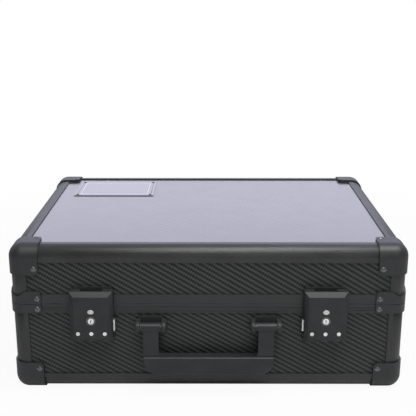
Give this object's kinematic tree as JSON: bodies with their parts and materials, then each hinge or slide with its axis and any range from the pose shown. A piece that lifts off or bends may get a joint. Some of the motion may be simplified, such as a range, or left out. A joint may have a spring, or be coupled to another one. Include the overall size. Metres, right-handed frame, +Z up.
{
  "type": "graded card case",
  "caption": "Hard briefcase-style case for upright graded card slabs, with carbon-look panels, metal edge trims, ball corners, two combination latches and a folding handle.",
  "frame": {"origin": "middle of the case's footprint, on the floor it stands on", "axes": "+X to the case's right seen from its latches, +Y from the latches to the hinge, +Z up"},
  "size_m": [0.4628, 0.3622, 0.1838],
  "materials": {
    "carbon_panel": "black carbon twill film",
    "edge_trim": "black fine textured powder coat",
    "rail": "black satin",
    "corner": "black textured",
    "rivet": "black",
    "hinge": "black satin",
    "stay": "zinc plated",
    "foam": "matt closed cell foam",
    "badge": "black anodised",
    "badge_rivet": "satin",
    "lock": "black satin",
    "lock_inside": "zinc plated",
    "key": "bright",
    "button": "black",
    "dial": "black with raised grip",
    "handle": "black satin"
  },
  "bodies": {
    "base": {"base_bottom_panel": "carbon_panel", "base_front_panel": "carbon_panel", "base_back_panel": "carbon_panel", "base_left_panel": "carbon_panel", "base_right_panel": "carbon_panel", "base_long_trims": "edge_trim", "base_end_trims": "edge_trim", "base_posts": "edge_trim", "base_long_rails": "rail", "base_end_rails": "rail", "base_ball_corners": "corner", "base_rim_corners": "corner", "base_rivets": "rivet", "underside_rivets": "rivet", "floor_foam": "foam", "slot_foam": "foam", "hinge_base_leaf": "hinge", "hinge_pin": "hinge", "stay_studs": "stay", "handle_brackets": "lock", "handle_pins": "lock_inside", "lock_housing_left": "lock", "lock_housing_right": "lock", "lock_plates": "lock_inside", "key_barrels": "key", "dial_spindles": "lock_inside"},
    "lid": {"lid_top_panel": "carbon_panel", "lid_front_panel": "carbon_panel", "lid_back_panel": "carbon_panel", "lid_left_panel": "carbon_panel", "lid_right_panel": "carbon_panel", "lid_long_trims": "edge_trim", "lid_end_trims": "edge_trim", "lid_posts": "edge_trim", "lid_long_rails": "rail", "lid_end_rails": "rail", "lid_ball_corners": "corner", "lid_rim_corners": "corner", "lid_rivets": "rivet", "lid_foam": "foam", "badge_plate": "badge", "badge_rivets": "badge_rivet", "strikes": "lock", "hinge_lid_leaf": "hinge", "stay_pivots": "stay"},
    "handle": {"handle": "handle"},
    "stay_left": {"stay_left": "stay"},
    "stay_right": {"stay_right": "stay"},
    "bolt_left": {"bolt_left": "lock_inside"},
    "key_plug_left": {"key_plug_left": "key"},
    "release_button_left": {"release_button_left": "button"},
    "dial_left_1": {"dial_left_1": "dial"},
    "dial_left_2": {"dial_left_2": "dial"},
    "dial_left_3": {"dial_left_3": "dial"},
    "bolt_right": {"bolt_right": "lock_inside"},
    "key_plug_right": {"key_plug_right": "key"},
    "release_button_right": {"release_button_right": "button"},
    "dial_right_1": {"dial_right_1": "dial"},
    "dial_right_2": {"dial_right_2": "dial"},
    "dial_right_3": {"dial_right_3": "dial"}
  },
  "joints": [
    {"name": "lid_hinge", "type": "hinge", "parent": "base", "child": "lid", "pos_m": [0, 0.1785, 0.1114], "axis": [-1, 0, 0], "range_deg": [0, 95]},
    {"name": "handle_swing", "type": "hinge", "parent": "base", "child": "handle", "pos_m": [0, -0.1736, 0.0867], "axis": [-1, 0, 0], "range_deg": [0, 95]},
    {"name": "stay_pivot_left", "type": "hinge", "parent": "lid", "child": "stay_left", "pos_m": [-0.21995, 0.12776, 0.12987], "axis": [-1, 0, 0], "range_deg": [-47.5, 0]},
    {"name": "key_turn_left", "type": "hinge", "parent": "base", "child": "key_plug_left", "pos_m": [-0.1343, -0.1731, 0.0962], "axis": [0, 1, 0], "range_deg": [0, 90]},
    {"name": "bolt_slide_left", "type": "slide", "parent": "base", "child": "bolt_left", "axis": [1, 0, 0], "range_m": [0, 0.006]},
    {"name": "button_press_left", "type": "slide", "parent": "base", "child": "release_button_left", "axis": [-1, 0, 0], "range_m": [0, 0.002], "stiffness_N_per_m": 300, "springref_m": -0.001},
    {"name": "dial_left_1_turn", "type": "hinge", "parent": "base", "child": "dial_left_1", "pos_m": [-0.1497, -0.1704, 0.0744], "axis": [1, 0, 0], "continuous": true},
    {"name": "dial_left_2_turn", "type": "hinge", "parent": "base", "child": "dial_left_2", "pos_m": [-0.1343, -0.1704, 0.0744], "axis": [1, 0, 0], "continuous": true},
    {"name": "dial_left_3_turn", "type": "hinge", "parent": "base", "child": "dial_left_3", "pos_m": [-0.1189, -0.1704, 0.0744], "axis": [1, 0, 0], "continuous": true},
    {"name": "stay_pivot_right", "type": "hinge", "parent": "lid", "child": "stay_right", "pos_m": [0.21995, 0.12776, 0.12987], "axis": [-1, 0, 0], "range_deg": [-47.5, 0]},
    {"name": "key_turn_right", "type": "hinge", "parent": "base", "child": "key_plug_right", "pos_m": [0.1343, -0.1731, 0.0962], "axis": [0, -1, 0], "range_deg": [0, 90]},
    {"name": "bolt_slide_right", "type": "slide", "parent": "base", "child": "bolt_right", "axis": [-1, 0, 0], "range_m": [0, 0.006]},
    {"name": "button_press_right", "type": "slide", "parent": "base", "child": "release_button_right", "axis": [1, 0, 0], "range_m": [0, 0.002], "stiffness_N_per_m": 300, "springref_m": -0.001},
    {"name": "dial_right_1_turn", "type": "hinge", "parent": "base", "child": "dial_right_1", "pos_m": [0.1497, -0.1704, 0.0744], "axis": [1, 0, 0], "continuous": true},
    {"name": "dial_right_2_turn", "type": "hinge", "parent": "base", "child": "dial_right_2", "pos_m": [0.1343, -0.1704, 0.0744], "axis": [1, 0, 0], "continuous": true},
    {"name": "dial_right_3_turn", "type": "hinge", "parent": "base", "child": "dial_right_3", "pos_m": [0.1189, -0.1704, 0.0744], "axis": [1, 0, 0], "continuous": true}
  ],
  "couplings": [
    {"joint": "stay_pivot_left", "follows": "lid_hinge", "ratio": -0.5},
    {"joint": "key_turn_left", "follows": "bolt_slide_left", "rad_per_m": 261.8},
    {"joint": "stay_pivot_right", "follows": "lid_hinge", "ratio": -0.5},
    {"joint": "key_turn_right", "follows": "bolt_slide_right", "rad_per_m": 261.8}
  ]
}
